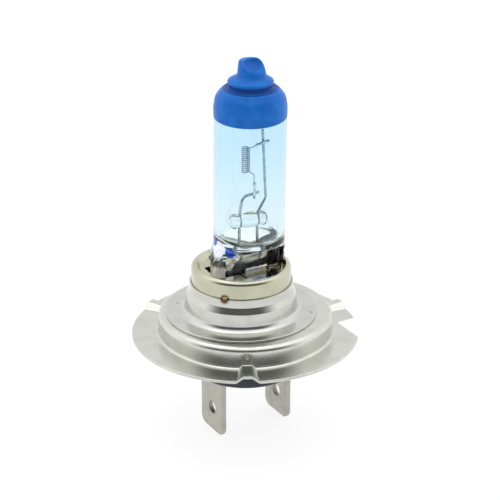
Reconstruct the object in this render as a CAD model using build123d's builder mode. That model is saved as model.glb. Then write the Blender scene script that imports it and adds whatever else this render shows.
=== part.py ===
"""Headlight bulb: a quartz capsule in a welded sheet-metal base with two flat terminals.

Frame: +Z points at the glass tip. The origin is on the collar's axis, at the top face of the
flange. +X runs from one terminal to the other. All sizes are in millimetres.
"""

from build123d import *
import math
import os

os.makedirs("parts", exist_ok=True)

# ---- driving dimensions: the collar is the standard 26 mm fitting -------------------------
collar_r = 13.0  # outside of the collar wall, the surface that centres the bulb
flange_r = 17.0
flange_t = 0.4  # sheet of the flange and its collar
collar_top = 3.2  # top face of the collar's inward ring
collar_shoulder = 0.8  # outer rounding between wall and ring
collar_root = 0.45  # inside bend between the plate and the wall
collar_hole_r = 8.6

rib_angles = (-118.8, 0.0, 120.0)
rib_inner = (1.24, 0.74, 0.52)  # half width at base, half width at top, height, at the wall
rib_outer = (1.76, 0.80, 0.80)  # the same at the rim
rib_base_inset = 0.30
rib_top_inset = 0.15
rib_overrun = 0.3

notch_x = 13.2  # the coding notch is a right-angled cut through the rim
notch_y = -4.4
trim_below = 1.0  # the cut that trims the rim starts this far below the plate
trim_height = 5.2

# the capsule's holder was aligned to the filament before it was welded, so its axis is shifted
holder_x = -0.52
holder_y = 0.33
sheet_t = 0.27  # sheet of the sleeve and the cup
foot_r = 11.3
foot_t = 0.3
sleeve_low_r = 8.22
sleeve_high_r = 7.69
sleeve_step_low = 6.1
sleeve_step_high = 6.9
sleeve_top = 8.2

cup_r = 7.40
cup_bottom = 5.4
cup_wall_top = 10.15
cup_crest = 10.92
dish_z = 10.1  # top face of the dish floor
dish_r = 6.0

# ---- quartz capsule: it leans a little towards the wide side of the holder ----------------
tube_r = 5.25
bore_r = 4.30
capsule_x = 0.46
capsule_y = -0.265
capsule_base = 12.0  # height at which the capsule axis passes through that point
lean_deg = 0.55
lean_heading = -30.0
pinch_width = 11.4
pinch_depth = 2.8
pinch_shift = -0.26  # the pinch's middle from the capsule's axis
bead_r = 1.55  # the pinch is thicker at both ends
pinch_bottom = 4.6
pinch_top = 13.0
pinch_corner = 1.2
shoulder_top = 14.7
cavity_floor = 14.0
cavity_full = 15.6
cavity_width = 7.0
cavity_depth = 2.0
coat_t = 0.07
coat_bottom = 33.53
barrel_top = 35.0

# half outline of the closed end, outside the paint: radius and height
shoulder_arc = ((5.10, 36.4), (4.15, 37.85))
ring_edge = (3.35, 38.6)
ring_arc = ((3.32, 38.95), (2.80, 39.3))
tip_side = ((2.20, 39.6), (2.05, 40.3), (1.60, 41.7))
tip_arc = ((1.45, 41.95), (1.15, 42.05))

# half outline of the cavity's closed end
bore_top = 35.6
bore_arc = ((3.7, 36.9), (2.2, 37.8))
bore_tip = (0.6, 38.9)

# ---- wires, all in the plane y = 0 except what is welded across their front ----------------
post_d = 0.43
wire_d = 0.15
coil_pitch = 0.306
coil_turns = 12.75
coil_low = 25.2
coil_r = 0.575
coil_x = 0.10
crimp_d = 0.44
crimp_gap = 0.04  # filled by the spot weld
crimp_y = -(post_d + crimp_d) / 2 - crimp_gap
lead_d = 0.7
foil_t = 0.05
foil_w = 2.4
foil_low = 6.4
foil_high = 11.6
post_low = 10.2
left_post_x = -1.04
right_post_x = 2.06
right_post_bends = ((2.01, 18.5), (3.54, 20.7), (2.95, 31.3))  # x and z of its line
right_post_rounds = (0.7, 0.7)
left_post_bends = ((-0.98, 18.7), (-0.45, 21.5), (2.4, 21.8))
left_post_rounds = (2.0, 1.1)
upper_crimp_ends = ((1.45, 29.24), (3.90, 29.60))
lower_crimp_ends = ((1.25, 23.62), (1.25, 21.05))
crimp_weld_places = ((3.06, 29.48), (1.25, 21.68))
leg_grip = 0.4  # share of each tube's length that the leg fills
low_leg_drop = 0.35
high_leg_run = 0.8
leg_lap = 0.06  # the upper leg starts this far inside the coil's last turn
low_leg_rounds = (0.2, 0.5)
high_leg_rounds = (0.5, 0.5)
foil_shift = 0.35  # a post sits nearer to the foil's inner edge than to its middle

lead_overlap = 1.5
lead_bend_high = 3.6
lead_bend_low = 2.2
lead_end = -1.3
lead_bend_r = 0.9
lead_weld_up = 1.1  # the weld's height above the lead's end
lead_weld_r = 0.6
lead_gap = 0.05  # between a lead and its tab, filled by the weld
weld_r = 0.27
bridge_x = 0.59
bridge_z = 17.76
bridge_length = 6.1
bridge_r = 1.15
bridge_round = 0.5
bridge_tilt = math.radians(4.5)

# ---- details of the cup, sleeve and flange -------------------------------------------------
roll = 0.75  # radius of the cup's rolled rim
window_gap = 0.35
window_end_gap = 0.15
window_corner = 1.3
cut_below = 1.0  # how far the punched openings reach below and above the dish floor
cut_above = 0.45
relief_w = 0.5
relief_reach = 1.9
relief_places = (-1.95, 2.72)  # from the window's middle
side_opening = ((-5.62, 0.0), (-4.75, 0.0), (-4.40, 3.02), (-5.32, 2.92))
tongue_clear = 0.03
tongue_from = -1.6
tongue_w = 4.05
tongue_top = 11.2
tongue_bend = 0.15
end_tongue_w = 2.6
end_tongue_tops = ((-1, 10.8), (1, 13.2))  # left, right
sleeve_fillet = 0.5
seam_weld_angles = (-138.3, -21.5, 98.5)
seam_weld_r = 0.42
foot_weld_places = ((140.3, 9.71), (-38.5, 10.5))
foot_weld_length = 0.8
foot_weld_width = 0.25
foot_weld_height = 0.04
rib_channel_gap = 0.1
rib_channel_under = 0.1  # how far the channel's cut starts below the plate

# ---- base: insulator and two 6.3 x 0.8 mm blades -------------------------------------------
insulator_r = 8.0
insulator_low = -6.0
insulator_floor = -2.0
insulator_bevel = 0.3
pocket_r = 6.9
ledge_r = 10.5
ledge_low = 1.6
neck_r = 7.5
neck_top = 4.8
blade_t = 0.8
blade_w = 6.3
blade_y = -0.87
blade_low = -14.88
blade_shoulder = -2.6
blade_corner = 1.15
blade_bevel = 0.2
tab_w = 3.0
tab_top = 1.2
left_blade_x = -5.985
right_blade_x = 5.215
hole_r = 1.0
hole_y = -1.0
hole_z = -11.1

holder_plane = Plane(origin=(holder_x, holder_y, 0), x_dir=(1, 0, 0), z_dir=(0, -1, 0))
holder_axis = Axis((holder_x, holder_y, 0), (0, 0, 1))

heading = math.radians(lean_heading)
lean = math.radians(lean_deg)
capsule_up = Vector(
    math.sin(lean) * math.cos(heading), math.sin(lean) * math.sin(heading), math.cos(lean)
)
capsule_foot = Vector(capsule_x, capsule_y, 0) - capsule_up * capsule_base
capsule_foot = Vector(capsule_foot.X, capsule_foot.Y, 0)


def capsule_level(z):
    """Plane across the capsule at height z on its own leaning axis, with local x along X."""
    return Plane(
        origin=capsule_foot + capsule_up * z,
        x_dir=(math.cos(lean), 0, -math.sin(lean) * math.cos(heading)),
        z_dir=capsule_up,
    )


capsule_side = Plane(
    origin=capsule_foot,
    x_dir=capsule_level(0).x_dir,
    z_dir=capsule_level(0).x_dir.cross(capsule_up),
)
capsule_axis = Axis(capsule_foot, capsule_up)


def inward(point, inset):
    """The point moved in and down by the thickness of the paint."""
    return (point[0] - inset, point[1] - inset)


def dome_outline(inset):
    """Half outline of the capsule's closed end: barrel, shoulder, step ring and tip."""
    barrel = tube_r + coat_t - inset
    shoulder, ring, tip = (
        [inward(point, inset) for point in arc] for arc in (shoulder_arc, ring_arc, tip_arc)
    )
    with BuildLine() as outline:
        Polyline((0, coat_bottom), (barrel, coat_bottom), (barrel, barrel_top))
        ThreePointArc((barrel, barrel_top), *shoulder)
        Line(shoulder[1], inward(ring_edge, inset))
        ThreePointArc(inward(ring_edge, inset), *ring)
        Polyline(ring[1], *(inward(point, inset) for point in tip_side))
        ThreePointArc(inward(tip_side[-1], inset), *tip)
        Polyline(tip[1], (0, tip[1][1]), (0, coat_bottom))
    return outline.line.edges()


# ---- lead-in wires and posts --------------------------------------------------------------
with BuildPart() as long_support_wire:
    with BuildLine() as path:
        FilletPolyline(
            (right_post_x, 0, post_low),
            *((x, 0, z) for x, z in right_post_bends),
            radius=right_post_rounds,
        )
    with BuildSketch(Plane(origin=path.line @ 0, z_dir=path.line % 0)):
        Circle(post_d / 2)
    sweep()
long_support_wire.part.label = "long_support_wire"
export_step(long_support_wire.part, "parts/long_support_wire.step")

with BuildPart() as short_support_wire:
    with BuildLine() as path:
        FilletPolyline(
            (left_post_x, 0, post_low),
            *((x, 0, z) for x, z in left_post_bends),
            radius=left_post_rounds,
        )
    with BuildSketch(Plane(origin=path.line @ 0, z_dir=path.line % 0)):
        Circle(post_d / 2)
    sweep()
short_support_wire.part.label = "short_support_wire"
export_step(short_support_wire.part, "parts/short_support_wire.step")

# ---- filament: a vertical coil with a leg at each end, both welded into small tubes --------
upper_crimp = [Vector(x, crimp_y, z) for x, z in upper_crimp_ends]
lower_crimp = [Vector(x, crimp_y, z) for x, z in lower_crimp_ends]
coil_top = coil_low + coil_pitch * coil_turns

with BuildPart() as filament_coil:
    with BuildLine() as path:
        Helix(coil_pitch, coil_pitch * coil_turns, coil_r, center=(coil_x, 0, coil_low))
    with BuildSketch(Plane(origin=path.line @ 0, z_dir=path.line % 0)):
        Circle(wire_d / 2)
    sweep(is_frenet=True)
    with BuildLine() as path:
        FilletPolyline(
            (coil_x + coil_r, 0, coil_low),
            (coil_x + coil_r, crimp_y, coil_low),
            (lower_crimp[0].X, crimp_y, coil_low - low_leg_drop),
            lower_crimp[0] + (lower_crimp[1] - lower_crimp[0]) * leg_grip,
            radius=low_leg_rounds,
        )
    with BuildSketch(Plane(origin=path.line @ 0, z_dir=path.line % 0)):
        Circle(wire_d / 2)
    sweep()
    with BuildLine() as path:
        FilletPolyline(
            (coil_x - leg_lap, -coil_r, coil_top),
            (coil_x + high_leg_run, -coil_r, coil_top),
            upper_crimp[0],
            upper_crimp[0] + (upper_crimp[1] - upper_crimp[0]) * leg_grip,
            radius=high_leg_rounds,
        )
    with BuildSketch(Plane(origin=path.line @ 0, z_dir=path.line % 0)):
        Circle(wire_d / 2)
    sweep()
filament_coil.part.label = "filament_coil"
export_step(filament_coil.part, "parts/filament_coil.step")


def crimp_tube(ends, leg):
    """Small molybdenum tube along a line, with room inside for the filament's leg."""
    with BuildPart() as tube:
        with BuildSketch(Plane(origin=ends[0], z_dir=ends[1] - ends[0])):
            Circle(crimp_d / 2)
        extrude(amount=(ends[1] - ends[0]).length)
        add(leg, mode=Mode.SUBTRACT)
    return tube.part


upper_crimp_sleeve = crimp_tube(upper_crimp, filament_coil.part)
upper_crimp_sleeve.label = "upper_crimp_sleeve"
export_step(upper_crimp_sleeve, "parts/upper_crimp_sleeve.step")

lower_crimp_sleeve = crimp_tube(lower_crimp, filament_coil.part)
lower_crimp_sleeve.label = "lower_crimp_sleeve"
export_step(lower_crimp_sleeve, "parts/lower_crimp_sleeve.step")

# ---- spot welds between the small tubes and the posts --------------------------------------
with BuildPart() as crimp_welds:
    with Locations(*((x, crimp_y / 2, z) for x, z in crimp_weld_places)):
        Sphere(weld_r)
    add(long_support_wire.part, mode=Mode.SUBTRACT)
    add(short_support_wire.part, mode=Mode.SUBTRACT)
    add(upper_crimp_sleeve, mode=Mode.SUBTRACT)
    add(lower_crimp_sleeve, mode=Mode.SUBTRACT)
    add(filament_coil.part, mode=Mode.SUBTRACT)
crimp_welds.part.label = "crimp_welds"
export_step(crimp_welds.part, "parts/crimp_welds.step")

# ---- glass bridge: a quartz rod fused round both posts -------------------------------------
with BuildPart() as bridge_rod:
    bridge_along = Vector(math.cos(bridge_tilt), 0, -math.sin(bridge_tilt))
    bridge_start = Vector(bridge_x, 0, bridge_z) - bridge_along * (bridge_length / 2)
    with BuildSketch(Plane(origin=bridge_start, z_dir=bridge_along)):
        Circle(bridge_r)
    extrude(amount=bridge_length)
    fillet(bridge_rod.edges().filter_by(GeomType.CIRCLE), radius=bridge_round)
    add(long_support_wire.part, mode=Mode.SUBTRACT)
    add(short_support_wire.part, mode=Mode.SUBTRACT)
bridge_rod.part.label = "bridge_rod"
export_step(bridge_rod.part, "parts/bridge_rod.step")

# ---- foils and outer leads: the gas-tight way out through the flat pinch -------------------
foil_y = -post_d / 2 - foil_t / 2
lead_y = foil_y + foil_t / 2 + lead_d / 2
foils = {}
leads = {}
for side, post_x, blade_x in (
    ("left", left_post_x, left_blade_x + blade_t / 2),
    ("right", right_post_x, right_blade_x - blade_t / 2),
):
    outward = math.copysign(1.0, blade_x)
    foil_x = post_x + outward * foil_shift
    lead_x = foil_x + outward * foil_shift
    tab_x = blade_x - outward * (lead_d / 2 + lead_gap)
    with BuildPart() as foil:
        with Locations((foil_x, foil_y, (foil_low + foil_high) / 2)):
            Box(foil_w, foil_t, foil_high - foil_low)
    foils[side] = foil.part
    foil.part.label = f"pinch_foil_{side}"
    export_step(foil.part, f"parts/pinch_foil_{side}.step")
    with BuildPart() as lead:
        with BuildLine() as path:
            FilletPolyline(
                (lead_x, lead_y, foil_low + lead_overlap),
                (lead_x, lead_y, lead_bend_high),
                (tab_x, lead_y, lead_bend_low),
                (tab_x, lead_y, lead_end),
                radius=(lead_bend_r, lead_bend_r),
            )
        with BuildSketch(Plane(origin=path.line @ 0, z_dir=path.line % 0)):
            Circle(lead_d / 2)
        sweep()
    leads[side] = lead.part
    lead.part.label = f"outer_lead_{side}"
    export_step(lead.part, f"parts/outer_lead_{side}.step")

# ---- quartz capsule: barrel, flat pinch below, closed tip above ----------------------------
with BuildPart() as quartz_capsule:
    with BuildSketch(capsule_side):
        make_face(dome_outline(coat_t))
    revolve(axis=capsule_axis)
    with BuildSketch(capsule_level(shoulder_top)):
        Circle(tube_r)
    extrude(amount=coat_bottom - shoulder_top)
    with BuildSketch(capsule_level(pinch_top)):
        with Locations((pinch_shift, 0)):
            RectangleRounded(pinch_width, pinch_depth, pinch_corner)
    with BuildSketch(capsule_level(shoulder_top)):
        Circle(tube_r)
    loft()
    with BuildSketch(capsule_level(pinch_bottom)):
        with Locations((pinch_shift, 0)):
            RectangleRounded(pinch_width, pinch_depth, pinch_corner)
        bead_x = pinch_width / 2 - bead_r
        with Locations((pinch_shift - bead_x, 0), (pinch_shift + bead_x, 0)):
            Circle(bead_r)
    extrude(amount=pinch_top - pinch_bottom)
    with BuildSketch(capsule_side, mode=Mode.PRIVATE) as bore_half:
        with BuildLine():
            Polyline((0, cavity_full), (bore_r, cavity_full), (bore_r, bore_top))
            ThreePointArc((bore_r, bore_top), *bore_arc)
            Polyline(bore_arc[1], bore_tip, (0, bore_tip[1]), (0, cavity_full))
        make_face()
    revolve(bore_half.sketch, axis=capsule_axis, mode=Mode.SUBTRACT)
    with BuildSketch(capsule_level(cavity_floor)):
        Ellipse(cavity_width / 2, cavity_depth / 2)
    with BuildSketch(capsule_level(cavity_full)):
        Circle(bore_r)
    loft(mode=Mode.SUBTRACT)
    for sealed in (long_support_wire.part, short_support_wire.part, *foils.values(), *leads.values()):
        add(sealed, mode=Mode.SUBTRACT)
quartz_capsule.part.label = "quartz_capsule"
export_step(quartz_capsule.part, "parts/quartz_capsule.step")

with BuildPart() as blue_tip_coat:
    with BuildSketch(capsule_side):
        make_face(dome_outline(0))
    revolve(axis=capsule_axis)
    with BuildSketch(capsule_side, mode=Mode.PRIVATE) as glass_half:
        make_face(dome_outline(coat_t))
    revolve(glass_half.sketch, axis=capsule_axis, mode=Mode.SUBTRACT)
blue_tip_coat.part.label = "blue_tip_coat"
export_step(blue_tip_coat.part, "parts/blue_tip_coat.step")

# ---- cup: rolled rim, flat dish, and four tongues bent up against the pinch ----------------
with BuildPart() as retaining_cup:
    with BuildSketch(holder_plane):
        with BuildLine():
            Polyline((cup_r - sheet_t, cup_bottom), (cup_r, cup_bottom), (cup_r, cup_wall_top))
            RadiusArc((cup_r, cup_wall_top), (cup_r - roll, cup_crest), -roll)
            Polyline(
                (cup_r - roll, cup_crest),
                (dish_r, dish_z),
                (0, dish_z),
                (0, dish_z - sheet_t),
                (dish_r, dish_z - sheet_t),
                (cup_r - roll, cup_crest - sheet_t),
            )
            RadiusArc((cup_r - roll, cup_crest - sheet_t), (cup_r - sheet_t, cup_wall_top), roll)
            Line((cup_r - sheet_t, cup_wall_top), (cup_r - sheet_t, cup_bottom))
        make_face()
    revolve(axis=holder_axis)
    window = capsule_level(dish_z - sheet_t / 2).origin + Vector(pinch_shift, 0, 0)
    with BuildSketch(Plane.XY.offset(dish_z - cut_below)):
        with Locations((window.X, window.Y)):
            RectangleRounded(
                pinch_width + 2 * window_end_gap, pinch_depth + 2 * window_gap, window_corner
            )
        with Locations(*((window.X + shift, window.Y) for shift in relief_places)):
            Rectangle(relief_w, pinch_depth + 2 * relief_reach)
        Polygon(*side_opening, align=None)
    extrude(amount=cut_below + cut_above, mode=Mode.SUBTRACT)
    for facing in (-1, 1):
        near = window.Y + facing * (pinch_depth / 2 + tongue_clear)
        far = near + facing * sheet_t
        root = window.Y + facing * (pinch_depth / 2 + window_gap + sheet_t)
        with BuildSketch(Plane.YZ.offset(window.X + tongue_from)):
            Polygon(
                (near, dish_z - sheet_t),
                (root, dish_z - sheet_t),
                (root, dish_z),
                (far, dish_z + tongue_bend),
                (far, tongue_top),
                (near, tongue_top),
                align=None,
            )
        extrude(amount=tongue_w)
    for facing, top in end_tongue_tops:
        near = window.X + facing * (pinch_width / 2 + tongue_clear)
        far = near + facing * sheet_t
        root = window.X + facing * (pinch_width / 2 + window_end_gap + sheet_t)
        with BuildSketch(Plane.XZ.offset(-window.Y - end_tongue_w / 2)):
            Polygon(
                (near, dish_z - sheet_t),
                (root, dish_z - sheet_t),
                (root, dish_z),
                (far, dish_z + tongue_bend),
                (far, top),
                (near, top),
                align=None,
            )
        extrude(amount=end_tongue_w)
retaining_cup.part.label = "retaining_cup"
export_step(retaining_cup.part, "parts/retaining_cup.step")

# ---- carrier sleeve: stepped tube with a flat foot -----------------------------------------
with BuildPart() as carrier_sleeve:
    with BuildSketch(holder_plane):
        with BuildLine():
            Polyline(
                (sleeve_high_r, sleeve_top),
                (sleeve_high_r, sleeve_step_high),
                (sleeve_low_r, sleeve_step_low),
                (sleeve_low_r, collar_top + foot_t + sleeve_fillet),
            )
            RadiusArc(
                (sleeve_low_r, collar_top + foot_t + sleeve_fillet),
                (sleeve_low_r + sleeve_fillet, collar_top + foot_t),
                -sleeve_fillet,
            )
            Polyline(
                (sleeve_low_r + sleeve_fillet, collar_top + foot_t),
                (foot_r, collar_top + foot_t),
                (foot_r, collar_top),
                (sleeve_low_r - sheet_t, collar_top),
                (sleeve_low_r - sheet_t, sleeve_step_low),
                (sleeve_high_r - sheet_t, sleeve_step_high),
                (sleeve_high_r - sheet_t, sleeve_top),
                (sleeve_high_r, sleeve_top),
            )
        make_face()
    revolve(axis=holder_axis)
carrier_sleeve.part.label = "carrier_sleeve"
export_step(carrier_sleeve.part, "parts/carrier_sleeve.step")

with BuildPart() as seam_welds:
    for angle in seam_weld_angles:
        reach = cup_r + seam_weld_r * 0.5
        spot = (
            holder_x + reach * math.cos(math.radians(angle)),
            holder_y + reach * math.sin(math.radians(angle)),
            sleeve_top,
        )
        with Locations(spot):
            Sphere(seam_weld_r)
    add(retaining_cup.part, mode=Mode.SUBTRACT)
    add(carrier_sleeve.part, mode=Mode.SUBTRACT)
seam_welds.part.label = "seam_welds"
export_step(seam_welds.part, "parts/seam_welds.step")

# ---- reference flange: plate, collar and three radial ribs in one pressing -----------------
with BuildPart() as reference_flange:
    with BuildSketch(Plane.XZ):
        with BuildLine():
            Polyline(
                (collar_r - flange_t + collar_root, -flange_t),
                (flange_r, -flange_t),
                (flange_r, 0),
                (collar_r + collar_root, 0),
            )
            RadiusArc((collar_r + collar_root, 0), (collar_r, collar_root), collar_root)
            Line((collar_r, collar_root), (collar_r, collar_top - collar_shoulder))
            RadiusArc(
                (collar_r, collar_top - collar_shoulder),
                (collar_r - collar_shoulder, collar_top),
                -collar_shoulder,
            )
            Polyline(
                (collar_r - collar_shoulder, collar_top),
                (collar_hole_r, collar_top),
                (collar_hole_r, collar_top - flange_t),
                (collar_r - collar_shoulder, collar_top - flange_t),
            )
            RadiusArc(
                (collar_r - collar_shoulder, collar_top - flange_t),
                (collar_r - flange_t, collar_top - collar_shoulder),
                collar_shoulder - flange_t,
            )
            Line(
                (collar_r - flange_t, collar_top - collar_shoulder),
                (collar_r - flange_t, collar_root - flange_t),
            )
            RadiusArc(
                (collar_r - flange_t, collar_root - flange_t),
                (collar_r - flange_t + collar_root, -flange_t),
                -collar_root,
            )
        make_face()
    revolve(axis=Axis.Z)
    for angle in rib_angles:
        direction = Vector(math.cos(math.radians(angle)), math.sin(math.radians(angle)), 0)
        across = Vector(-direction.Y, direction.X, 0)
        for base, top, height, reach in (
            (*rib_inner, collar_r - flange_t / 2),
            (*rib_outer, flange_r + rib_overrun),
        ):
            with BuildSketch(Plane(origin=direction * reach, x_dir=across, z_dir=direction)):
                Polygon(
                    (-base, -flange_t / 2),
                    (base, -flange_t / 2),
                    (base, 0),
                    (top, height),
                    (-top, height),
                    (-base, 0),
                    align=None,
                )
        loft()
    for angle in rib_angles:
        direction = Vector(math.cos(math.radians(angle)), math.sin(math.radians(angle)), 0)
        across = Vector(-direction.Y, direction.X, 0)
        for base, top, height, reach in (
            (*rib_inner, collar_r + rib_channel_gap),
            (*rib_outer, flange_r + rib_overrun),
        ):
            with BuildSketch(Plane(origin=direction * reach, x_dir=across, z_dir=direction)):
                Polygon(
                    (-base + rib_base_inset, -flange_t - rib_channel_under),
                    (base - rib_base_inset, -flange_t - rib_channel_under),
                    (base - rib_base_inset, -flange_t),
                    (top - rib_top_inset, height - flange_t),
                    (-top + rib_top_inset, height - flange_t),
                    (-base + rib_base_inset, -flange_t),
                    align=None,
                )
        loft(mode=Mode.SUBTRACT)
    with BuildSketch(Plane.XY.offset(-trim_below)):
        Circle(flange_r)
        with Locations((notch_x, notch_y)):
            Rectangle(flange_r, flange_r, align=(Align.MIN, Align.MAX), mode=Mode.SUBTRACT)
    extrude(amount=trim_height, mode=Mode.INTERSECT)
reference_flange.part.label = "reference_flange"
export_step(reference_flange.part, "parts/reference_flange.step")

with BuildPart() as foot_welds:
    for angle, reach in foot_weld_places:
        spot = Plane(
            origin=(
                holder_x + reach * math.cos(math.radians(angle)),
                holder_y + reach * math.sin(math.radians(angle)),
                collar_top + foot_t,
            ),
            x_dir=(1, 0, 0),
        )
        with BuildSketch(spot):
            SlotOverall(foot_weld_length, foot_weld_width)
        extrude(amount=foot_weld_height)
foot_welds.part.label = "foot_welds"
export_step(foot_welds.part, "parts/foot_welds.step")

# ---- terminals: blade below, narrow tab above for the lead ---------------------------------
blades = {}
for side, blade_x in (("left", left_blade_x), ("right", right_blade_x)):
    with BuildPart() as blade:
        with BuildSketch(Plane.YZ.offset(blade_x - blade_t / 2)):
            with Locations((blade_y, (blade_low + blade_shoulder) / 2)):
                Rectangle(blade_w, blade_shoulder - blade_low)
            with Locations((blade_y, (blade_shoulder + tab_top) / 2)):
                Rectangle(tab_w, tab_top - blade_shoulder)
        extrude(amount=blade_t)
        corners = blade.edges().filter_by(Axis.X).group_by(Axis.Z)[0]
        fillet(corners, radius=blade_corner)
        tip_edges = blade.edges().filter_by(Axis.Y).group_by(Axis.Z)[0]
        chamfer(tip_edges, length=blade_bevel)
        with Locations(Plane.YZ.offset(blade_x)):
            with Locations((hole_y, hole_z)):
                Hole(hole_r)
    blades[side] = blade.part
    blade.part.label = f"terminal_{side}"
    export_step(blade.part, f"parts/terminal_{side}.step")

with BuildPart() as lead_welds:
    for side, blade_x in (("left", left_blade_x), ("right", right_blade_x)):
        outward = math.copysign(1.0, blade_x)
        weld_x = blade_x - outward * ((blade_t + lead_d) / 2 + lead_gap)
        with Locations((weld_x, lead_y, lead_end + lead_weld_up)):
            Sphere(lead_weld_r)
        add(blades[side], mode=Mode.SUBTRACT)
        add(leads[side], mode=Mode.SUBTRACT)
lead_welds.part.label = "lead_welds"
export_step(lead_welds.part, "parts/lead_welds.step")

# ---- insulator: holds the blades below the flange and is seated by its ledge ---------------
with BuildPart() as insulator_base:
    with BuildSketch(Plane.XY.offset(insulator_low)):
        Circle(insulator_r)
    extrude(amount=ledge_low - insulator_low)
    chamfer(insulator_base.edges().group_by(Axis.Z)[0], length=insulator_bevel)
    with BuildSketch(Plane.XY.offset(ledge_low)):
        Circle(ledge_r)
    extrude(amount=collar_top - flange_t - ledge_low)
    with BuildSketch(Plane.XY.offset(ledge_low)):
        with Locations((holder_x, holder_y)):
            Circle(neck_r)
    extrude(amount=neck_top - ledge_low)
    with BuildSketch(Plane.XY.offset(insulator_floor)):
        with Locations((holder_x, holder_y)):
            Circle(pocket_r)
    extrude(amount=neck_top - insulator_floor, mode=Mode.SUBTRACT)
    for blade in blades.values():
        add(blade, mode=Mode.SUBTRACT)
insulator_base.part.label = "insulator_base"
export_step(insulator_base.part, "parts/insulator_base.step")
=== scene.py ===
# %% [markdown]
# # A headlight bulb around its CAD frame
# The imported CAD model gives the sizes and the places. This lesson builds the surfaces that are
# seen: pressed steel, quartz glass, blue paint, and the fine wires inside.

import math

import bmesh
import bpy
import numpy as np
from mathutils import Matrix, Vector


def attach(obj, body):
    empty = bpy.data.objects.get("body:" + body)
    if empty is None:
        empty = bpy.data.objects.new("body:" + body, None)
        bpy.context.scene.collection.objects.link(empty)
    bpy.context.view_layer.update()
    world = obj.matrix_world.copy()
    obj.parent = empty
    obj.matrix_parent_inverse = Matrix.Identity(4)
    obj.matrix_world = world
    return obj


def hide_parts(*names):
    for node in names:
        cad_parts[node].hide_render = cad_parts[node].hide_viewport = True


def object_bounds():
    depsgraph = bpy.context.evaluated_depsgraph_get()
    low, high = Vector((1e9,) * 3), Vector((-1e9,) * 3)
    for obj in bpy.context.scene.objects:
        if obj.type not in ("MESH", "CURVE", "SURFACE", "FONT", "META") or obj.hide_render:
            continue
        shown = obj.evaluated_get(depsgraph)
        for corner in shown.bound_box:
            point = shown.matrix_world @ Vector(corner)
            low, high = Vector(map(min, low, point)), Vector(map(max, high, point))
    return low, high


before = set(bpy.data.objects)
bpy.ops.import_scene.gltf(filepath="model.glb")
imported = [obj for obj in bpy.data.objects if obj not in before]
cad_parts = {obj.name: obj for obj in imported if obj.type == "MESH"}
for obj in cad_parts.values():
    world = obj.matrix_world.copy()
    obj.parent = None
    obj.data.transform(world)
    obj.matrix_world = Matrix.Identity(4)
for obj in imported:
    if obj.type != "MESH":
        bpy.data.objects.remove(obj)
CAD_LOW, CAD_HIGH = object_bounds()
MM = 0.001
print("CAD box in mm:", [round(v / MM, 2) for v in (*CAD_LOW, *CAD_HIGH)])

# %% [markdown]
# ## From arrays to meshes
# Each surface is a grid of points, rows by columns. Every grid cell becomes one face. A row that
# is squeezed to a single point closes an end, and the doubled points there are merged at the end.
# The sign of the enclosed volume says whether the faces point outwards.


# %% Grids into shells
def shell(grid, wrap_rows=False, wrap_columns=True, hollow=False):
    """Points and quads of a closed grid. A hollow shell faces inwards, as a cavity's wall does."""
    rows, columns = grid.shape[:2]
    i = np.arange(rows if wrap_rows else rows - 1)[:, None]
    j = np.arange(columns if wrap_columns else columns - 1)[None, :]
    i_next, j_next = (i + 1) % rows, (j + 1) % columns
    here, below = i * columns, i_next * columns
    corners = np.broadcast_arrays(here + j, below + j, below + j_next, here + j_next)
    quads = np.stack(corners, -1).reshape(-1, 4)
    points = grid.reshape(-1, 3)
    middle = points.mean(0)
    a, b, c, d = ((points - middle)[quads[:, k]] for k in range(4))
    volume = (a * (np.cross(b, c) + np.cross(c, d))).sum()
    return points, quads[:, ::-1] if (volume < 0) != hollow else quads


def mesh_from(name, shells, sharp_deg=40.0):
    """One mesh from shells in millimetres, smooth except across edges sharper than sharp_deg."""
    starts = np.cumsum([0] + [len(points) for points, _ in shells])
    points = np.concatenate([points for points, _ in shells]) * MM
    quads = np.concatenate([quads + start for (_, quads), start in zip(shells, starts)])
    mesh = bpy.data.meshes.new(name)
    mesh.vertices.add(len(points))
    mesh.vertices.foreach_set("co", points.astype(np.float32).ravel())
    mesh.loops.add(quads.size)
    mesh.loops.foreach_set("vertex_index", quads.astype(np.int32).ravel())
    mesh.polygons.add(len(quads))
    mesh.polygons.foreach_set("loop_start", np.arange(0, quads.size, 4, dtype=np.int32))
    mesh.update(calc_edges=True)
    work = bmesh.new()
    work.from_mesh(mesh)
    bmesh.ops.remove_doubles(work, verts=work.verts, dist=2e-8)
    work.to_mesh(mesh)
    work.free()
    soften(mesh, sharp_deg)
    return mesh


def soften(mesh, sharp_deg):
    """Smooth shading that keeps the edges sharper than sharp_deg."""
    mesh.polygons.foreach_set("use_smooth", np.ones(len(mesh.polygons), bool))
    mesh.set_sharp_from_angle(angle=math.radians(sharp_deg))


def place(name, mesh, stands_for, finish):
    """Puts a mesh into the scene as a piece of the object."""
    piece = bpy.data.objects.new(name, mesh)
    bpy.context.scene.collection.objects.link(piece)
    mesh.materials.clear()
    mesh.materials.append(finish)
    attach(piece, "root")
    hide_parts(*stands_for)
    low, high = (np.array(v) / MM for v in (piece.bound_box[0], piece.bound_box[6]))
    print(f"{name}: {len(mesh.polygons)} faces, {np.round(high - low, 2)} mm")
    return piece


# %% [markdown]
# ## Lines, tubes and turned shapes
# A bent wire and a pressed sheet have the same kind of line: straight runs joined by arcs. One
# helper makes it from the corners and their radii, in two dimensions or three.


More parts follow.
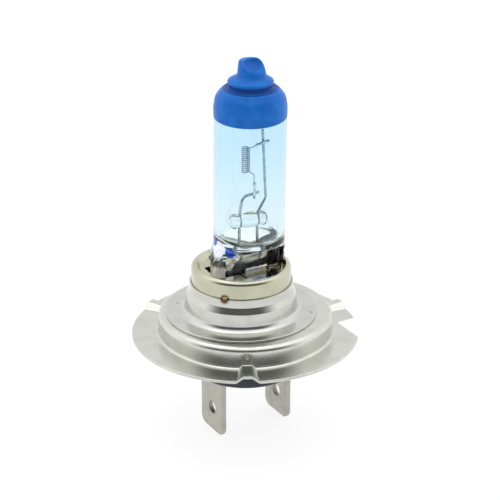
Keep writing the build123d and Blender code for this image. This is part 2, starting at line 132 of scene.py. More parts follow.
# %% Rounded lines
def rounded(corners, radii, closed=False, arc=8, step=None):
    """Straight runs between corners, each corner replaced by an arc of its radius.

    The arc's centre lies on the corner's bisector, radius / cos(turn / 2) away from the corner."""
    p = np.array(corners, float)
    radii = np.broadcast_to(np.array(radii, float), len(p))
    runs = []
    for k, radius in enumerate(radii):
        if radius == 0 or (not closed and k in (0, len(p) - 1)):
            runs.append(p[k : k + 1])
            continue
        arrive, leave = p[k] - p[k - 1], p[(k + 1) % len(p)] - p[k]
        arrive, leave = arrive / np.linalg.norm(arrive), leave / np.linalg.norm(leave)
        turn = math.acos(np.clip(arrive @ leave, -1, 1))
        inward = (leave - arrive) / np.linalg.norm(leave - arrive)
        centre = p[k] + inward * radius / math.cos(turn / 2)
        reach = radius * math.tan(turn / 2)
        first, last = p[k] - arrive * reach - centre, p[k] + leave * reach - centre
        s = np.linspace(0, 1, arc)[:, None]
        swept = (np.sin((1 - s) * turn) * first + np.sin(s * turn) * last) / math.sin(turn)
        runs.append(centre + swept)
    line = np.concatenate(runs)
    if closed:
        line = np.vstack([line, line[:1]])
    if step:
        line = divided(line, step)
    return line[:-1] if closed else line


def divided(line, step):
    """The same line with extra points, so that no run is longer than step."""
    move = np.diff(line, axis=0)
    parts = np.maximum(1, np.ceil(np.linalg.norm(move, axis=1) / step - 1e-9)).astype(int)
    run = np.repeat(np.arange(len(parts)), parts)
    share = (np.arange(parts.sum()) - np.repeat(np.cumsum(parts) - parts, parts)) / parts[run]
    return np.vstack([line[run] + share[:, None] * move[run], line[-1:]])


def turned(profile, centre=(0.0, 0.0), steps=256):
    """A profile of (radius, height) turned about a vertical axis: x = r cos a, y = r sin a."""
    angle = np.linspace(0, 2 * math.pi, steps, endpoint=False)[None, :]
    r, z = profile[:, :1], profile[:, 1:]
    ones = np.ones_like(angle)
    return np.stack([centre[0] + r * np.cos(angle), centre[1] + r * np.sin(angle), z * ones], -1)


def tube(path, radius, sides=16, end=None, across=(0, 1, 0)):
    """A wire: circles carried along a path and shrunk to points over a length end at both ends.

    The ring at arc length s has radius * sqrt(1 - (1 - s / end) ** 2) near an end."""
    end = radius * 0.6 if end is None else end
    gap = np.concatenate([[0], np.cumsum(np.linalg.norm(np.diff(path, axis=0), axis=1))])
    extra = end * (1 - np.cos(np.linspace(0, math.pi / 2, 6)))
    s = np.unique(np.round(np.concatenate([gap, extra, gap[-1] - extra]), 7))
    path = np.stack([np.interp(s, gap, path[:, k]) for k in range(3)], -1)
    ahead = np.gradient(path, s, axis=0)
    ahead /= np.linalg.norm(ahead, axis=1, keepdims=True)
    side = np.cross(ahead, across)
    side /= np.linalg.norm(side, axis=1, keepdims=True)
    up = np.cross(side, ahead)
    near = np.clip(np.minimum(s, s[-1] - s) / end, 0, 1)
    ring = (radius * np.sqrt(1 - (1 - near) ** 2))[:, None, None]
    angle = np.linspace(0, 2 * math.pi, sides, endpoint=False)[None, :, None]
    return path[:, None] + ring * (np.cos(angle) * side[:, None] + np.sin(angle) * up[:, None])


def smooth_step(t):
    """0 below 0, 1 above 1, and 3 t ** 2 - 2 t ** 3 between."""
    t = np.clip(t, 0, 1)
    return t * t * (3 - 2 * t)


# %% [markdown]
# ## Shader maths as Python
# A finish is easiest to read as a formula. This class wraps a shader socket, so that an
# expression such as `1 - mask * 0.3` adds the Math nodes for it.


# %% Signals and finishes
class Signal:
    """A socket of one finish's node tree, with the arithmetic that the finishes use."""

    def __init__(self, finish, socket):
        self.finish, self.socket = finish, socket

    def maths(self, operation, *others):
        inputs = dict(enumerate((self, *others)))
        return self.finish.node("ShaderNodeMath", {"operation": operation}, inputs)

    def __add__(self, other):
        return self.maths("ADD", other)

    def __sub__(self, other):
        return self.maths("SUBTRACT", other)

    def __rsub__(self, other):
        return self.maths("MULTIPLY_ADD", -1.0, other)

    def __mul__(self, other):
        return self.maths("MULTIPLY", other)

    def __truediv__(self, other):
        return self.maths("DIVIDE", other)

    def __pow__(self, other):
        return self.maths("POWER", other)

    __radd__, __rmul__ = __add__, __mul__

    def between(self, low, high, start=0.0, stop=1.0):
        """start where the signal is at low, stop where it is at high, smooth in between."""
        settings = {"interpolation_type": "SMOOTHSTEP"}
        values = {0: self, 1: low, 2: high, 3: start, 4: stop}
        return self.finish.node("ShaderNodeMapRange", settings, values)


class Finish:
    """A material, or the world, made of nodes on Object coordinates in millimetres."""

    def __init__(self, name, owner=None):
        self.owner = owner or bpy.data.materials.new(name)
        self.owner.use_nodes = True
        self.tree = self.owner.node_tree
        self.tree.nodes.clear()

    def node(self, kind, settings=None, inputs=None, output=0):
        """Adds a node: first its settings, then its sockets' values or links."""
        made = self.tree.nodes.new(kind)
        for key, value in (settings or {}).items():
            setattr(made, key, value)
        for key, value in (inputs or {}).items():
            if isinstance(value, Signal):
                self.tree.links.new(value.socket, made.inputs[key])
            else:
                made.inputs[key].default_value = value
        return Signal(self, made.outputs[output])

    def place(self):
        """The point's place on the piece in millimetres, as a vector and as x, y and z."""
        spot = self.node("ShaderNodeTexCoord", output="Object")
        spot = self.node("ShaderNodeVectorMath", {"operation": "SCALE"}, {0: spot, 3: 1 / MM})
        parts = [self.node("ShaderNodeSeparateXYZ", inputs={0: spot}, output=k) for k in range(3)]
        return spot, *parts

    def noise(self, where, scale, detail=3.0, roughness=0.55):
        values = {"Vector": where, "Scale": scale, "Detail": detail, "Roughness": roughness}
        return self.node("ShaderNodeTexNoise", inputs=values)

    def join(self, x, y, z):
        return self.node("ShaderNodeCombineXYZ", inputs={0: x, 1: y, 2: z})

    def mix(self, share, first, second):
        """The first colour where share is 0 and the second where it is 1."""
        first, second = (c if isinstance(c, Signal) else (*c, 1) for c in (first, second))
        return self.node("ShaderNodeMix", {"data_type": "RGBA"}, {0: share, 6: first, 7: second}, 2)

    def bump(self, height, depth_mm, strength=1.0):
        values = {"Strength": strength, "Distance": depth_mm * MM, "Height": height}
        return self.node("ShaderNodeBump", inputs=values)

    def finish(self, **sockets):
        """Ends the tree in a Principled shader. In a socket's name, an underscore is a space."""
        names = {key.replace("_", " "): value for key, value in sockets.items()}
        shader = self.node("ShaderNodeBsdfPrincipled", inputs=names)
        end = self.tree.nodes.new("ShaderNodeOutputMaterial")
        self.tree.links.new(shader.socket, end.inputs[0])
        return self.owner


# %% [markdown]
# ## The camera, the floor and the light
# The bulb is seen from a little above. It stands on a pale light table in a white tent. Bare
# metal shows mostly what it reflects, so the tent has one dim side, behind the camera: a corner
# between two polished faces sends the view straight back there and looks dark.

# %% Camera
EYE = Vector((-115.0, -199.19, 112.76)) * MM
HEADING = Vector((0.50261, 0.86452))
PITCH = 0.409582
LENS = 122.755

camera_data = bpy.data.cameras.new("camera")
camera_data.lens = LENS
camera_data.sensor_width = 36.0
camera_data.clip_start = 0.01
camera = bpy.data.objects.new("camera", camera_data)
ahead = Vector((*(HEADING.normalized() * math.cos(PITCH)), -math.sin(PITCH)))
camera.location = EYE
camera.rotation_euler = ahead.to_track_quat("-Z", "Y").to_euler()
bpy.context.scene.collection.objects.link(camera)
bpy.context.scene.camera = camera
bpy.context.scene.view_settings.view_transform = "Standard"
print("camera height in mm:", round(EYE.z / MM, 1))

# %% Floor
floor_finish = Finish("light_table").finish(
    Base_Color=(0.13, 0.13, 0.13, 1),
    Roughness=0.7,
    Emission_Color=(1, 1, 1, 1),
    Emission_Strength=0.87,
)
span = 6.0
corners = np.array([(-span, -span), (span, -span), (span, span), (-span, span)])
floor_mesh = bpy.data.meshes.new("floor")
floor_mesh.from_pydata([(*c, CAD_LOW.z) for c in corners.tolist()], [], [(0, 1, 2, 3)])
floor_mesh.materials.append(floor_finish)
floor = bpy.data.objects.new("floor", floor_mesh)
bpy.context.scene.collection.objects.link(floor)
print("floor at", round(CAD_LOW.z / MM, 2), "mm")

# %% Light tent
LEVEL, OVERHEAD, SIDES, DIM = 0.97, 0.45, 0.25, 0.12
world = bpy.data.worlds.new("tent")
bpy.context.scene.world = world
tent = Finish("tent", world)
toward = tent.node("ShaderNodeTexCoord", output="Generated")
steep = tent.node("ShaderNodeSeparateXYZ", inputs={0: toward}, output=2)
eye_side = (EYE * Vector((1, 1, 0))).normalized()
dot = {"operation": "DOT_PRODUCT"}
facing = tent.node("ShaderNodeVectorMath", dot, {0: toward, 1: eye_side}, 1)
facing = facing / (1.0001 - steep * steep) ** 0.5
brightness = LEVEL + steep.between(0.5, 1.0) * OVERHEAD + (1 - facing * facing) * SIDES
dimness = facing.between(0.10, 0.80) * steep.between(0.60, 0.82, 1.0, 0.0)
brightness = brightness * (1 - dimness) + dimness * DIM
glow = tent.node("ShaderNodeBackground", inputs={"Color": (1, 1, 1, 1), "Strength": brightness})
tent_end = tent.tree.nodes.new("ShaderNodeOutputWorld")
tent.tree.links.new(glow.socket, tent_end.inputs[0])

lamp_data = bpy.data.lights.new("overhead", "AREA")
lamp_data.shape, lamp_data.size, lamp_data.energy = "DISK", 0.5, 0.3
lamp = bpy.data.objects.new("overhead", lamp_data)
lamp.location = (0.0, 0.12, 0.75)
lamp.rotation_euler = (Vector((0, 0, 0.01)) - lamp.location).to_track_quat("-Z", "Y").to_euler()
bpy.context.scene.collection.objects.link(lamp)
print("tent level", LEVEL, "dim side", DIM)

# %% [markdown]
# ## Finishes
# Bare metal is a mirror with a pattern of fine marks. Pressed steel keeps faint streaks that run
# round the part, some dull smears, and straw-coloured rings where a weld heated it. Each finish
# below works on the point's own place, so it holds still when the view changes.

# %% Metal finishes
HOLDER = (-0.52, 0.33)
SEAM_ANGLES = np.radians((-138.3, -21.5, 98.5))
CUP_R, SEAM_Z = 7.40, 8.2
SEAM_SPOTS = [
    (HOLDER[0] + CUP_R * math.cos(a), HOLDER[1] + CUP_R * math.sin(a), SEAM_Z) for a in SEAM_ANGLES
]


def distance(kit, spot, point):
    """How far the shaded place is from a point, in millimetres."""
    return kit.node("ShaderNodeVectorMath", {"operation": "DISTANCE"}, {0: spot, 1: point}, 1)


def streaks(kit, x, y, z, centre=(0.0, 0.0)):
    """Noise drawn out round an axis, as a turning or drawing tool leaves it."""
    dx, dy = x - centre[0], y - centre[1]
    r = (dx * dx + dy * dy) ** 0.5
    turn = kit.node("ShaderNodeMath", {"operation": "ARCTAN2"}, {0: dy, 1: dx})
    return kit.noise(kit.join(r * 5.0, z * 5.0, turn * 1.6), 1.0, 4.0, 0.6), r


def pressed_steel(name, tint, dull, centre=(0.0, 0.0), gloss_r=None, heated=()):
    """Satin pressed steel, tarnished round each heated spot.

    Inside gloss_r, where the tongues are, it is duller, with a painted highlight on the front
    tongue, painted shade with painted glints on the right and painted shade high on the left. A
    painted reflection of the blue glass above lies on the floor there."""
    kit = Finish(name)
    spot, x, y, z = kit.place()
    streak, r = streaks(kit, x, y, z, centre)
    smear = kit.noise(spot, 0.35, 3.0)
    speck = kit.noise(spot, 9.0, 2.0)
    rough = dull + (streak - 0.5) * 0.10 + (smear - 0.5) * 0.16
    if gloss_r:
        rough = rough * r.between(gloss_r - 0.3, gloss_r + 0.3, 1.25, 1.0)
    worn = smear.between(0.35, 0.75)
    colour = kit.mix(worn, tint, tuple(0.90 * c for c in tint))
    colour = kit.mix(speck.between(0.60, 0.80) * 0.15, colour, tuple(0.72 * c for c in tint))
    for point in heated:
        away = distance(kit, spot, point)
        colour = kit.mix(away.between(0.55, 0.95, 0.7, 0.0), colour, (0.26, 0.19, 0.09))
        colour = kit.mix(away.between(0.52, 0.70, 0.9, 0.0), colour, (0.07, 0.045, 0.025))
    if gloss_r:
        inside = r.between(gloss_r + 0.15, gloss_r + 0.3, 1.0, 0.0)
        # painted shade: near black at the right end of the floor, where the tongue sits in shadow
        painted_shade_right = x.between(2.2, 2.8) * z.between(10.30, 10.65) * inside
        # painted shade: a dark grey patch high on the left tongue
        painted_shade_left = x.between(-4.3, -3.9, 1.0, 0.0) * z.between(11.7, 12.0) * inside
        # painted highlight: the front tongue's bend is painted light grey, and it is rougher there
        painted_tongue_highlight = x.between(1.2, 1.8, 1.0, 0.0) * y.between(-0.6, 0.2, 1.0, 0.0) * inside
        painted_tongue_highlight = painted_tongue_highlight * z.between(10.15, 10.25) * z.between(11.3, 11.9, 1.0, 0.0)
        colour = kit.mix(painted_tongue_highlight, colour, (0.78, 0.78, 0.80))
        colour = kit.mix(painted_shade_left * 0.85, colour, (0.13, 0.13, 0.13))
        # painted glints: grey specks in the painted shade
        painted_glints = speck.between(0.58, 0.70)
        colour = kit.mix(painted_shade_right, colour, kit.mix(painted_glints, (0.012, 0.012, 0.014), (0.16, 0.16, 0.16)))
        rough = rough + (painted_shade_right + painted_shade_left) * 0.25 + painted_tongue_highlight * 0.35
        # painted reflection: a blue patch on the floor in front of the window stands for the blue
        # glass reflected there
        painted_blue_reflection = x.between(-2.2, -1.8) * x.between(1.5, 1.9, 1.0, 0.0) * y.between(-4.65, -4.4)
        painted_blue_reflection = painted_blue_reflection * y.between(-3.95, -3.75, 1.0, 0.0) * z.between(10.2, 10.3, 1.0, 0.0)
        colour = kit.mix(painted_blue_reflection * smear.between(0.35, 0.55) * 0.8, colour, (0.13, 0.22, 0.52))
    rough = rough.maths("MAXIMUM", 0.06)
    height = streak * 0.7 + speck * 0.3
    return kit.finish(
        Base_Color=colour, Metallic=1.0, Roughness=rough, Normal=kit.bump(height, 0.008, 0.3)
    )


def wire_metal(name, tint, dull, grain):
    """Drawn wire: fine lengthwise lines over a slightly dull metal."""
    kit = Finish(name)
    spot, x, y, z = kit.place()
    line = kit.noise(kit.join(x * 9.0, y * 9.0, z * 0.8), 1.0, 2.0)
    blotch = kit.noise(spot, grain, 3.0)
    colour = kit.mix(blotch.between(0.35, 0.7), tint, tuple(0.62 * c for c in tint))
    rough = dull + (blotch - 0.5) * 0.2 + (line - 0.5) * 0.12
    return kit.finish(
        Base_Color=colour, Metallic=1.0, Roughness=rough, Normal=kit.bump(line, 0.01, 0.3)
    )


flange_steel = pressed_steel("flange_steel", (0.64, 0.645, 0.60), 0.24)
sleeve_steel = pressed_steel(
    "sleeve_steel", (0.60, 0.605, 0.57), 0.18, HOLDER, heated=SEAM_SPOTS[:1]
)
cup_steel = pressed_steel("cup_steel", (0.54, 0.535, 0.41), 0.17, HOLDER, 6.2, heated=SEAM_SPOTS)
tungsten = wire_metal("tungsten", (0.50, 0.54, 0.57), 0.26, 2.0)
molybdenum = wire_metal("molybdenum", (0.52, 0.58, 0.62), 0.22, 1.2)
# painted highlight: the crimped tubes get a much brighter copy of the wire metal
crimp_metal_painted_highlight = wire_metal("crimp_metal_painted_highlight", (0.80, 0.84, 0.87), 0.18, 1.2)
foil_metal = wire_metal("foil_metal", (0.40, 0.42, 0.44), 0.30, 3.0)
lead_metal = wire_metal("lead_metal", (0.50, 0.48, 0.44), 0.35, 2.0)
weld_metal = wire_metal("weld_metal", (0.42, 0.30, 0.20), 0.25, 6.0)
spot_metal = wire_metal("spot_metal", (0.40, 0.40, 0.38), 0.32, 6.0)
print("metals:", len(bpy.data.materials))

# %% Blade finish
kit = Finish("blade_plating")
spot, x, y, z = kit.place()
rolled = kit.noise(kit.join(x * 3.0, y * 6.0, z * 0.35), 1.0, 3.0)
smudge = kit.noise(spot, 0.7, 4.0)
pit = kit.noise(spot, 14.0, 2.0)
plate_colour = kit.mix(smudge.between(0.4, 0.72), (0.47, 0.47, 0.41), (0.40, 0.40, 0.36))
blade_plating = kit.finish(
    Base_Color=kit.mix(pit.between(0.62, 0.8) * 0.4, plate_colour, (0.36, 0.36, 0.33)),
    Metallic=0.85,
    Roughness=0.42 + (rolled - 0.5) * 0.2 + (smudge - 0.5) * 0.15,
    Normal=kit.bump(rolled * 0.6 + pit * 0.4, 0.015, 0.35),
)
print("blade plating ready")

# %% [markdown]
# ## Glass, paint and plastic
# Quartz is tinted by a thin blue filter, strong at the top of the barrel and faint at the pinch.
# The filter is on the outside only, so the inside of the wall is left clear. On the shoulder a
# white, frosted, mirror-like patch is a painted reflection, blue patches are painted reflections of
# the blue tip, and the flat faces of the pinch are frosted in patches. The paint on the tip is a
# satin enamel, with painted shade in the groove and in the dish of the sealed face.

# %% Glass finish
TINT_LOW, TINT_HIGH = 15.0, 32.0
kit = Finish("quartz_glass")
spot, x, y, z = kit.place()
depth_of_tint = z.between(TINT_LOW, TINT_HIGH)
ripple = kit.noise(kit.join(x * 0.6, y * 0.6, z * 0.25), 1.0, 2.0)
ragged = (kit.noise(spot, 1.1, 2.0) - 0.5) * 1.2
# painted reflection: saturated, part-metallic blue patches low on the glass stand for the blue tip
# seen through the quartz wall
CAP_REFLECTION_SPOTS = (((-4.1, -2.7, 14.3), 0.75), ((-4.65, 0.7, 15.1), 0.65), ((-4.8, 0.2, 13.1), 0.6))
WHITE_REFLECTION_AT = (-4.5, -0.8, 14.2)
painted_cap_reflection = 0.0
for middle, reach in CAP_REFLECTION_SPOTS:
    near = distance(kit, spot, middle) + ragged
    painted_cap_reflection = near.between(reach - 0.1, reach + 0.1, 1.0, 0.0) + painted_cap_reflection
painted_cap_reflection = painted_cap_reflection.maths("MINIMUM", 1.0)
# painted reflection: a whitened, part-metallic patch, also rough as frosted glass, stands for a
# bright reflection on the shoulder
frost_and_white_reflection = (distance(kit, spot, WHITE_REFLECTION_AT) + ragged * 0.5).between(1.2, 1.5, 1.0, 0.0) * (1 - painted_cap_reflection)
tint = kit.mix(depth_of_tint, (0.70, 0.87, 0.93), (0.51, 0.77, 1.0))
# the leaning axis passes through (0.36 + 0.0083 z, -0.207 - 0.0048 z)
off_x, off_y = x - 0.36 - z * 0.0083, y + 0.207 + z * 0.0048
outer_skin = (off_x * off_x + off_y * off_y).between(21.5, 24.5)
tint = kit.mix(outer_skin, (1.0, 1.0, 1.0), tint)
face_patch = kit.noise(kit.join(x * 1.3, y * 0.2, z * 1.6), 1.0, 3.0).between(0.33, 0.43)
face = z.between(12.7, 13.1, 1.0, 0.0) * x.between(-4.4, -3.9)
frost = frost_and_white_reflection.maths("MAXIMUM", face * face_patch)
quartz_glass = kit.finish(
    Base_Color=kit.mix(painted_cap_reflection, kit.mix(frost_and_white_reflection, tint, (0.90, 0.94, 0.98)), (0.02, 0.09, 0.70)),
    Metallic=painted_cap_reflection * 0.55 + frost_and_white_reflection * 0.8,
    Roughness=painted_cap_reflection * 0.25 + frost * 0.42,
    IOR=1.46,
    Transmission_Weight=1.0,
    Normal=kit.bump(ripple, 0.02, 0.25),
)

kit = Finish("bridge_glass")
spot, x, y, z = kit.place()
swirl = kit.noise(spot, 1.4, 2.0)
bridge_glass = kit.finish(
    Base_Color=kit.mix(swirl, (0.97, 0.99, 0.99), (0.93, 0.97, 0.97)),
    Roughness=0.0,
    IOR=1.46,
    Transmission_Weight=1.0,
    Normal=kit.bump(swirl, 0.05, 0.3),
)
print("tint runs from", TINT_LOW, "to", TINT_HIGH, "mm")

# %% Paint and plastic finishes
kit = Finish("blue_enamel")
spot, x, y, z = kit.place()
cloud = kit.noise(spot, 0.5, 3.0)
peel = kit.noise(spot, 3.5, 2.0)
enamel = kit.mix(cloud.between(0.3, 0.75), (0.009, 0.14, 0.57), (0.014, 0.19, 0.66))
# painted shade: the enamel is darker in the groove under the ring
painted_groove_shade = z.between(37.75, 37.95) * z.between(38.55, 38.75, 1.0, 0.0)
# painted shade: the enamel is darker in the dish of the sealed face
SEALED_AT = (0.85, -0.75, 41.42)
painted_dish_shade = distance(kit, spot, SEALED_AT).between(0.95, 1.35, 0.5, 0.0)
enamel = kit.mix(painted_dish_shade, enamel, (0.006, 0.08, 0.38))
blue_enamel = kit.finish(
    Base_Color=kit.mix(painted_groove_shade * 0.8, enamel, (0.004, 0.05, 0.28)),
    Roughness=0.36 + (peel - 0.5) * 0.1,
    Specular_IOR_Level=0.14,
    Normal=kit.bump(peel, 0.03, 0.3),
)

kit = Finish("base_moulding")
spot, x, y, z = kit.place()
flow = kit.noise(spot, 1.2, 4.0)
grit = kit.noise(spot, 12.0, 2.0)
base_moulding = kit.finish(
    Base_Color=kit.mix(flow.between(0.3, 0.7), (0.012, 0.016, 0.030), (0.022, 0.028, 0.046)),
    Roughness=0.38 + (grit - 0.5) * 0.25,
    Normal=kit.bump(grit, 0.02, 0.4),
)
print("finishes:", len(bpy.data.materials))

# %% [markdown]
# ## The pressed flange
# Plate, collar and ribs are one pressing of 0.4 mm steel. Its cross-section is one closed line,
# turned about the axis. The ribs lift the plate, the notch draws the rim in, and a small punch
# mark dents the collar: each is a formula added to the turned points.

# %% Flange
COLLAR_R, FLANGE_R, SHEET, COLLAR_TOP = 13.0, 17.0, 0.4, 3.2
COLLAR_HOLE_R, ROOT_R = 8.6, 13.45
RIB_ANGLES = np.radians((-118.8, 0.0, 120.0))
NOTCH_X, NOTCH_Y = 13.2, -4.4
RIB_REACH = 0.80

section = rounded(
    [
        (COLLAR_R - SHEET, -SHEET),
        (FLANGE_R, -SHEET),
        (FLANGE_R, 0),
        (COLLAR_R, 0),
        (COLLAR_R, COLLAR_TOP),
        (COLLAR_HOLE_R, COLLAR_TOP),
        (COLLAR_HOLE_R, COLLAR_TOP - SHEET),
        (COLLAR_R - SHEET, COLLAR_TOP - SHEET),
    ],
    (0.85, 0.13, 0.13, 0.45, 0.8, 0.1, 0.1, 0.4),
    closed=True,
    step=0.3,
)
fine = np.linspace(-0.15, 0.15, 101)
NOTCH_CORNERS = (-15.0, -18.43, -39.06)
notch_turns = np.concatenate([np.radians(c + np.linspace(-0.6, 0.6, 9)) for c in NOTCH_CORNERS])
whole = np.linspace(0, 2 * math.pi, 360, endpoint=False)
turns = np.concatenate([whole, *(c + fine for c in RIB_ANGLES), notch_turns]) % (2 * math.pi)
turns = np.unique(np.round(turns, 5))[None, :]
r, z = section[:, :1], section[:, 1:]
cos_t, sin_t = np.cos(turns), np.sin(turns)
with np.errstate(divide="ignore"):
    cut = np.maximum(NOTCH_X / cos_t, NOTCH_Y / sin_t)
rim = np.where((cos_t > 0) & (sin_t < 0), np.minimum(cut, FLANGE_R), FLANGE_R)
share = np.clip((r - ROOT_R) / (FLANGE_R - ROOT_R), 0, 1)
radius = np.where(r > ROOT_R, ROOT_R + share * (rim - ROOT_R), r)
height = z * np.ones_like(turns)
for rib_angle in RIB_ANGLES:
    across = np.abs(radius * np.sin(turns - rib_angle)) + 99.0 * (np.cos(turns - rib_angle) < 0)
    out = np.clip((radius - COLLAR_R) / (FLANGE_R - COLLAR_R), 0, 1)
    top, base, lift = 0.55 + 0.05 * out, 1.22 + 0.56 * out, 0.52 + 0.28 * out
    slope = np.clip((across - top) / (base - top), 0, 1)
    ridge = lift * (1 - 0.6 * slope - 0.4 * smooth_step(slope))
    height = height + ridge * np.clip(1 - np.maximum(z, 0) / RIB_REACH, 0, 1)
PUNCH_DEPTH, PUNCH_Z, PUNCH_R = 0.09, 1.85, 0.30
punch = COLLAR_R * np.sin(turns - RIB_ANGLES[0])
dent = PUNCH_DEPTH * np.exp(-(punch**2 + (z - PUNCH_Z) ** 2) / PUNCH_R**2)
dent = dent * (np.cos(turns - RIB_ANGLES[0]) > 0)
radius = radius - dent * (r > 12)
flange_grid = np.stack([radius * cos_t, radius * sin_t, height], -1)
flange_mesh = mesh_from("flange_pressing", [shell(flange_grid, wrap_rows=True)], 50)
place("flange_pressing", flange_mesh, ["reference_flange"], flange_steel)

# %% [markdown]
# ## Sleeve and welds
# The sleeve is drawn in two steps and stands on a flat foot. It was turned about its own axis,
# which lies a little off the flange's, because the filament was centred before the foot was
# welded down. The welds are low domes with a crater.

# %% Sleeve
FOOT_TOP = 3.5
sleeve_line = rounded(
    [
        (11.3, 3.2),
        (11.3, FOOT_TOP),
        (8.40, FOOT_TOP),
        (8.16, 6.15),
        (7.69, 6.98),
        (7.69, 8.2),
        (7.42, 8.2),
        (7.42, 6.88),
        (7.89, 6.05),
        (8.05, 3.2),
    ],
    (0.10, 0.10, 1.0, 0.50, 0.60, 0.08, 0.05, 0.35, 0.4, 0.1),
    closed=True,
    step=0.4,
)
sleeve_mesh = mesh_from("stepped_sleeve", [shell(turned(sleeve_line, HOLDER, 320), wrap_rows=True)])
place("stepped_sleeve", sleeve_mesh, ["carrier_sleeve"], sleeve_steel)


def blob(spot, outward, width, height, length=None, crater=0.3, seed=0):
    """A weld bead: a dome over the plane across outward, height * (1 - s ** 2) with a dip at s = 0.

    A few sine waves in its rim keep it from being round."""
    outward = np.array(outward, float) / np.linalg.norm(outward)
    along = np.cross((0, 0, 1) if abs(outward[2]) < 0.9 else (1, 0, 0), outward)
    along /= np.linalg.norm(along)
    other = np.cross(outward, along)
    a = np.linspace(0, 2 * math.pi, 40, endpoint=False)[None, :]
    s = np.concatenate([np.linspace(0, 1, 14), np.linspace(1, 0, 5)])[:, None]
    under = (np.arange(len(s)) > 13)[:, None]
    wobble = 1 + 0.09 * np.sin(3 * a + seed) + 0.06 * np.sin(5 * a + 2.1 * seed)
    dome = 1 - s**2 - crater * np.exp(-((s / 0.35) ** 2))
    rise = height * np.where(under, -0.25 * (1 - s), dome)
    x, y = (length or width) * s * np.cos(a) * wobble, width * s * np.sin(a) * wobble
    return np.array(spot) + x[..., None] * along + y[..., None] * other + rise[..., None] * outward


# %% Weld beads
seams = []
for k, (angle, spot) in enumerate(zip(SEAM_ANGLES, SEAM_SPOTS)):
    out = np.array([math.cos(angle), math.sin(angle), 0.25])
    seams.append(shell(blob(np.array(spot) + 0.08 * out, out, 0.40, 0.22, crater=0.45, seed=k)))
place("seam_beads", mesh_from("seam_beads", seams), ["seam_welds"], weld_metal)
FOOT_WELDS = ((140.3, 9.71), (-38.5, 10.5))
marks = []
for k, (angle, reach) in enumerate(FOOT_WELDS):
    a = math.radians(angle)
    spot = (HOLDER[0] + reach * math.cos(a), HOLDER[1] + reach * math.sin(a), FOOT_TOP)
    marks.append(shell(blob(spot, (0, 0, 1), 0.15, 0.04, length=0.42, crater=0.6, seed=k + 3)))
place("foot_marks", mesh_from("foot_marks", marks), ["foot_welds"], spot_metal)

# %% [markdown]
# ## The cup that holds the glass
# The cup has a rolled rim and a sunken floor. A window, four relief cuts and a side opening are
# punched out of the floor, so the turned shape gets real holes from a Boolean modifier, which is
# then applied. Tongues are left standing round the window and bent up against the glass.


# %% Prisms and cuts
def prism(outline, low, high):
    """A closed block: an outline in x and y, from height low to height high."""
    rings = [np.column_stack([outline, np.full(len(outline), level)]) for level in (low, high)]
    ends = [np.tile(ring.mean(0), (len(ring), 1)) for ring in rings]
    return np.stack([ends[0], rings[0], rings[1], ends[1]])


def box_outline(x, y, width, depth, corner, turn=0.0):
    """A rounded rectangle centred on (x, y), turned about its centre."""
    w, d = width / 2, depth / 2
    line = rounded([(-w, -d), (w, -d), (w, d), (-w, d)], corner, closed=True, arc=6)
    c, s = math.cos(turn), math.sin(turn)
    return line @ np.array([[c, s], [-s, c]]) + (x, y)


def cut_away(mesh, cutters):
    """The mesh without what the cutters' shells enclose."""
    body = bpy.data.objects.new("body", mesh)
    tool = bpy.data.objects.new("tool", mesh_from("tool", [shell(c) for c in cutters]))
    for part in (body, tool):
        bpy.context.scene.collection.objects.link(part)
    change = body.modifiers.new("cut", "BOOLEAN")
    change.operation, change.solver, change.object = "DIFFERENCE", "EXACT", tool
    change.use_self = True
    graph = bpy.context.evaluated_depsgraph_get()
    result = bpy.data.meshes.new_from_object(body.evaluated_get(graph))
    for part in (body, tool):
        bpy.data.objects.remove(part)
    return result


# %% Cup
DISH_Z, CUP_SHEET = 10.1, 0.27
WINDOW = (0.20, -0.258)
PINCH_W, PINCH_D = 11.4, 2.8
cup_line = rounded(
    [
        (7.13, 5.4),
        (7.40, 5.4),
        (7.40, 10.92),
        (6.62, 10.92),
        (6.02, DISH_Z),
        (0, DISH_Z),
        (0, DISH_Z - CUP_SHEET),
        (6.16, DISH_Z - CUP_SHEET),
        (6.72, 10.62),
        (7.13, 10.62),
    ],
    (0.05, 0.05, 0.72, 0.14, 0.40, 0, 0, 0.25, 0.05, 0.35),
    closed=True,
    step=0.45,
)
cup_body = mesh_from("cup_body", [shell(turned(cup_line, HOLDER, 320), wrap_rows=True)])
wx, wy = WINDOW
holes = [
    box_outline(wx, wy + 0.10, PINCH_W + 0.3, PINCH_D + 0.5, 1.3),
    box_outline(wx - 2.00, wy - 2.45, 0.34, 1.9, 0.12, 0.08),
    box_outline(wx + 2.62, wy - 2.60, 0.26, 1.5, 0.1, -0.50),
    box_outline(wx - 2.4, wy + 1.9, 0.5, 2.6, 0.2),
    box_outline(wx + 2.9, wy + 1.9, 0.5, 2.6, 0.2),
    np.array([(-5.62, 0.0), (-4.75, 0.0), (-4.40, 3.02), (-5.32, 2.92)]),
]
cup_cut = cut_away(cup_body, [prism(h, DISH_Z - 1, DISH_Z + 0.45) for h in holes])
soften(cup_cut, 35)


def bent_strip(middle, left, right, place_point, thickness=CUP_SHEET, steps=40):
    """A bent sheet: its middle line, in (distance out, height), is carried from left to right.

    place_point(across, out, height) gives the points in space."""
    ahead = np.gradient(middle, axis=0)
    ahead /= np.linalg.norm(ahead, axis=1, keepdims=True)
    off = np.column_stack([-ahead[:, 1], ahead[:, 0]]) * thickness / 2
    loop = np.vstack([middle + off, (middle - off)[::-1]])
    across = np.linspace(left, right, steps)[:, None]
    across = np.vstack([across[:1], across, across[-1:]])
    out, height = (np.ones_like(across) * loop[:, k] for k in (0, 1))
    out[[0, -1]], height[[0, -1]] = loop[:, 0].mean(), loop[:, 1].mean()
    return place_point(across, out, height)


